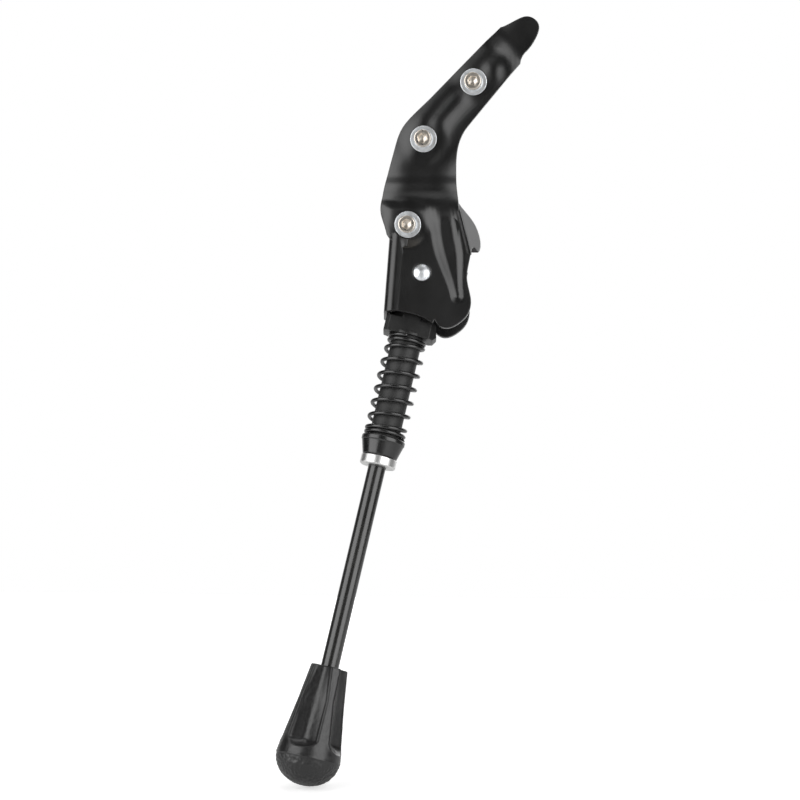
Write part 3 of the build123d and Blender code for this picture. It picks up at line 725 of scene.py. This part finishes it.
def buildBolt(place, matrix, turn):
    s = boltSet
    count = s["teeth"] * s["perTooth"]
    r0, h, deep = s["headRadius"], s["headHeight"], s["headHeight"] - s["socketDepth"]
    # out under the head, up the knurl, over the rim and down into the socket
    rows = [("flat", s["shank"], 0.0), ("flat", r0 - 0.35, 0.0), ("flat", r0 - 0.1, 0.08),
            ("flat", r0 - 0.02, 0.3), ("knurl", r0, 0.55), ("knurl", r0, h - 1.25),
            ("flat", r0 - 0.03, h - 1.0), ("flat", r0 - 0.03, h - s["fillet"])]
    for k in range(1, 6):
        a = math.pi / 2 * k / 5
        rows.append(("flat", r0 - s["fillet"] * (1 - math.cos(a)), h - s["fillet"] * (1 - math.sin(a))))
    rows += [("flat", r0 - s["fillet"] - 0.25, h), ("hex", 1.14, h), ("hex", 1.1, h - 0.01),
             ("hex", 1.0, h - 0.28), ("hex", 1.0, h - 0.5), ("hex", 1.0, deep + 0.1), ("hex", 0.97, deep),
             ("flat", 1.2, deep - 0.15), ("flat", 0.05, deep - 0.5)]
    verts = []
    for kind, size, z in rows:
        for k in range(count):
            a = 2 * math.pi * k / count
            r = size
            if kind == "knurl":
                r = size - s["toothDepth"] * (1 if k % s["perTooth"] < 2 else 0)
            if kind == "hex":
                sixth = (a + math.pi / 6) % (math.pi / 3) - math.pi / 6
                r = size * s["socketFlats"] / 2 / math.cos(sixth)
            verts.append((r * math.cos(a + turn) * mm, r * math.sin(a + turn) * mm, (z + s["lift"]) * mm))
    faces = polarFaces(len(rows), count, False, True)
    base = len(verts)
    around, steps = s["threadAround"], round(s["length"] / s["pitch"] * s["stepsPerPitch"])
    for i in range(steps + 1):
        z = -s["length"] * i / steps
        point = 1 - s["pointShare"] + s["pointShare"] * min(1.0, (s["length"] + z) / s["pointRun"] + 0.55)
        for k in range(around):
            a = 2 * math.pi * k / around
            wave = abs(((z / s["pitch"] - k / around) % 1.0) * 2 - 1)
            r = (s["shank"] - s["threadDepth"] * wave * min(1.0, -z / s["threadRun"])) * point
            verts.append((r * math.cos(a) * mm, r * math.sin(a) * mm, (z + s["lift"]) * mm))
    faces += [tuple(base + i for i in face) for face in polarFaces(steps + 1, around, False, True)]
    piece = addPiece("socket_bolt_" + place, verts, faces, "nickelPlate", matrix)
    finishPiece(piece, "clamp", place + "_bolt", s["sharp"])


def buildWashers(place, matrix, turn):
    s = washerSet
    ring = [(s["inner"], 0.0), (s["outer"], 0.0), (s["outer"], s["thick"]), (s["inner"], s["thick"])]
    piece = lathe("flat_washer_" + place, softProfile(ring, s["edge"]), "zincPlate", matrix)
    finishPiece(piece, "clamp", place + "_flat_washer")
    inner, outer, thick, rise = s["inner"], s["splitOuter"], s["splitThick"], s["rise"]
    section = softProfile([(inner, 0.0), (outer, 0.0), (outer, thick), (inner, thick)], s["splitEdge"], 2)
    verts = []
    for i in range(s["steps"] + 1):
        share = i / s["steps"]
        for r, z in section:
            slit = s["gap"] / r + s["slant"] * (z - thick / 2) / r
            a = turn + slit / 2 + share * (2 * math.pi - s["gap"] / r)
            lift = s["thick"] + z
            if rise < z < thick - rise:
                lift += rise * (share - 0.5)
            verts.append((r * math.cos(a) * mm, r * math.sin(a) * mm, lift * mm))
    faces = polarFaces(s["steps"] + 1, len(section), True, True)
    piece = addPiece("split_washer_" + place, verts, faces, "zincPlate", matrix)
    finishPiece(piece, "clamp", place + "_lock_washer", s["sharp"])


for turn, (place, seat) in enumerate(boltSeats.items()):
    seatMatrix = Matrix.Translation(Vector(seat) * mm) @ Matrix.Rotation(math.pi / 2, 4, "X")
    buildBolt(place, seatMatrix, 0.35 + 0.9 * turn)
    buildWashers(place, seatMatrix, 0.9 + 1.3 * turn)
print("bolts and washers made")

# pivot rivet with peened domes
rivetSet = dict(
    pin=3.0, head=4.3, height=1.7, half=13.0, sink=0.2, neck=0.4, around=96,
    peen=0.07, peenFrom=0.2, peenScale=0.75, peenAt=(3.1, 0.4, 0.0), sharp=50)


def buildRivet():
    s = rivetSet
    ball = (s["head"] ** 2 + s["height"] ** 2) / (2 * s["height"])
    dome = []
    for k in range(13):
        r = s["head"] * (1 - (k / 12) ** 1.4) + 0.02
        dome.append((r, s["half"] + math.sqrt(max(ball ** 2 - r ** 2, 0.0)) - ball + s["height"]))
    profile = [(s["pin"], s["half"] - s["neck"]), (s["pin"], s["half"]), (s["head"] - 0.15, s["half"])] + dome
    rows = [(r, -z) for r, z in reversed(profile)] + [(r, z - s["sink"]) for r, z in profile]
    verts = []
    for r, z in rows:
        for k in range(s["around"]):
            a = 2 * math.pi * k / s["around"]
            spot = Vector((r * math.cos(a), r * math.sin(a), z))
            dent = 0.0
            if abs(z) > s["half"] + s["peenFrom"]:
                dent = s["peen"] * noise.noise(spot * s["peenScale"] + Vector(s["peenAt"]))
            verts.append(tuple((spot + Vector((0, 0, dent if z > 0 else -dent))) * mm))
    faces = polarFaces(len(rows), s["around"], True, True)
    across = (-pinIn).cross(legSide)
    pinMatrix = Matrix([(legSide[i], across[i], -pinIn[i], pivot[i]) for i in range(3)] + [(0, 0, 0, 1)])
    piece = addPiece("peened_rivet", verts, faces, "zincPlate", pinMatrix)
    finishPiece(piece, "clamp", "pivot_rivet", s["sharp"])


buildRivet()
print("rivet peened")

# turned pieces on the leg
seatSet = dict(bore=7.52, top=82.8, bottom=92.8, topRadius=10.8, lowRadius=8.6, lip=2.2, edge=0.25)
ringSet = dict(
    bore=4.45, tube=7.52, top=92.82, shelf=95.02, bottom=97.3, radius=8.9, chamfer=0.6, edge=0.16,
    around=128)


def buildTurned():
    s = seatSet
    top, bottom, wide, low = -s["top"], -s["bottom"], s["topRadius"], s["lowRadius"]
    cone = [(s["bore"], top), (wide - 0.4, top), (wide, top - 0.5), (wide, top - s["lip"]),
            (wide - 0.35, top - s["lip"] - 0.4), (low, bottom + 0.7), (low - 0.6, bottom),
            (s["bore"], bottom)]
    piece = lathe("seat_cone", softProfile(cone, s["edge"]), "seatBlack", legMatrix)
    finishPiece(piece, "leg", "spring_seat")
    s = ringSet
    top, bottom, wide, cut = -s["top"], -s["bottom"], s["radius"], s["chamfer"]
    ring = [(s["tube"], top), (wide, top), (wide, bottom + cut), (wide - cut, bottom), (s["bore"], bottom),
            (s["bore"], -s["shelf"]), (s["tube"], -s["shelf"])]
    piece = lathe("turned_ring", softProfile(ring, s["edge"]), "turnedAluminium", legMatrix, s["around"])
    finishPiece(piece, "leg", "end_ring")


buildTurned()
print("turned pieces made")

# camera at the photograph's angle, and a plain studio
cameraSet = dict(
    azimuth=6.0, elevation=2.0, distance=1.2, focal=108.0, sensor=36.0, aim=(-0.00857, -0.00457, -0.10444))


def buildCamera():
    c = cameraSet
    a, e = math.radians(c["azimuth"]), math.radians(c["elevation"])
    back = Vector((math.sin(a) * math.cos(e), -math.cos(a) * math.cos(e), math.sin(e)))
    data = bpy.data.cameras.new("photoCamera")
    data.lens = c["focal"]
    data.sensor_width = c["sensor"]
    data.sensor_fit = "HORIZONTAL"
    data.clip_start = 0.01
    camera = bpy.data.objects.new("photoCamera", data)
    bpy.context.scene.collection.objects.link(camera)
    camera.location = Vector(c["aim"]) + back * c["distance"]
    camera.rotation_euler = back.to_track_quat("Z", "Y").to_euler()
    bpy.context.scene.camera = camera


studioSet = dict(
    middle=(0.0, 0.0, -0.10),
    lamps=[("leftBox", (-0.83, -0.73, 0.18), (1.1, 1.5), 12.5),
           ("rightBox", (0.82, -0.74, 0.15), (1.0, 1.5), 11.6),
           ("topBox", (0.0, 0.05, 1.00), (0.9, 0.5), 2.5),
           ("backBox", (0.2, 0.9, 0.35), (1.0, 0.9), 3.0)],
    world=0.05, backdrop=(0.55, 0.85), floorTone=0.86, floorGap=0.0005, floorSize=1.5, floorGlow=0.6,
    floorGloss=0.15, floorFade=(0.3, 0.6))


def buildStudio():
    s = studioSet
    middle = Vector(s["middle"])
    for name, place, size, power in s["lamps"]:
        data = bpy.data.lights.new(name, "AREA")
        data.shape = "RECTANGLE"
        data.size, data.size_y = size
        data.energy = power
        lamp = bpy.data.objects.new(name, data)
        bpy.context.scene.collection.objects.link(lamp)
        lamp.location = Vector(place) + middle
        lamp.rotation_euler = (lamp.location - middle).to_track_quat("Z", "Y").to_euler()
    world = bpy.data.worlds.new("paleRoom")
    bpy.context.scene.world = world
    world.use_nodes = True
    tree = world.node_tree
    room = tree.nodes["Background"]
    room.inputs["Color"].default_value = (1, 1, 1, 1)
    path = addNode(tree, "ShaderNodeLightPath")
    way = addNode(tree, "ShaderNodeSeparateXYZ")
    tree.links.new(addNode(tree, "ShaderNodeTexCoord").outputs["Generated"], way.inputs[0])
    # gloss sees the pale backdrop only behind the part
    behind = rampNode(tree, way.outputs[1], *s["backdrop"])
    glossy = mathNode(tree, "MULTIPLY", path.outputs["Is Glossy Ray"], behind)
    seen = mathNode(tree, "MAXIMUM", path.outputs["Is Camera Ray"], glossy)
    seen = mathNode(tree, "MAXIMUM", seen, path.outputs["Is Transmission Ray"])
    level = mathNode(tree, "MULTIPLY_ADD", seen, 1.0 - s["world"])
    level.node.inputs[2].default_value = s["world"]
    tree.links.new(level, room.inputs["Strength"])
    half = s["floorSize"] / 2
    mesh = bpy.data.meshes.new("paleFloor")
    corners = [(-half, -half, 0), (half, -half, 0), (half, half, 0), (-half, half, 0)]
    mesh.from_pydata(corners, [], [(0, 1, 2, 3)])
    floor = bpy.data.objects.new("paleFloor", mesh)
    bpy.context.scene.collection.objects.link(floor)
    floor.location = ((cadLow.x + cadHigh.x) / 2, (cadLow.y + cadHigh.y) / 2, cadLow.z - s["floorGap"])
    paint, tree, shader = newMaterial("paleFloor")
    tone = s["floorTone"]
    shader.inputs["Base Color"].default_value = (tone, tone, tone, 1)
    shader.inputs["Roughness"].default_value = 0.9
    shader.inputs["Emission Color"].default_value = (1, 1, 1, 1)
    path = addNode(tree, "ShaderNodeLightPath")
    gloss = mathNode(tree, "MULTIPLY", path.outputs["Is Glossy Ray"], s["floorGloss"])
    seen = mathNode(tree, "MAXIMUM", path.outputs["Is Camera Ray"], gloss)
    seen = mathNode(tree, "MAXIMUM", seen, path.outputs["Is Transmission Ray"])
    away = addNode(tree, "ShaderNodeVectorMath", operation="LENGTH")
    tree.links.new(addNode(tree, "ShaderNodeTexCoord").outputs["Object"], away.inputs[0])
    # the floor runs into the backdrop
    glow = rampNode(tree, away.outputs["Value"], *s["floorFade"], s["floorGlow"], 1.0)
    tree.links.new(mathNode(tree, "MULTIPLY", seen, glow), shader.inputs["Emission Strength"])
    floor.data.materials.append(paint)


buildCamera()
buildStudio()
bpy.context.scene.view_settings.view_transform = "Standard"
print("camera and studio set")
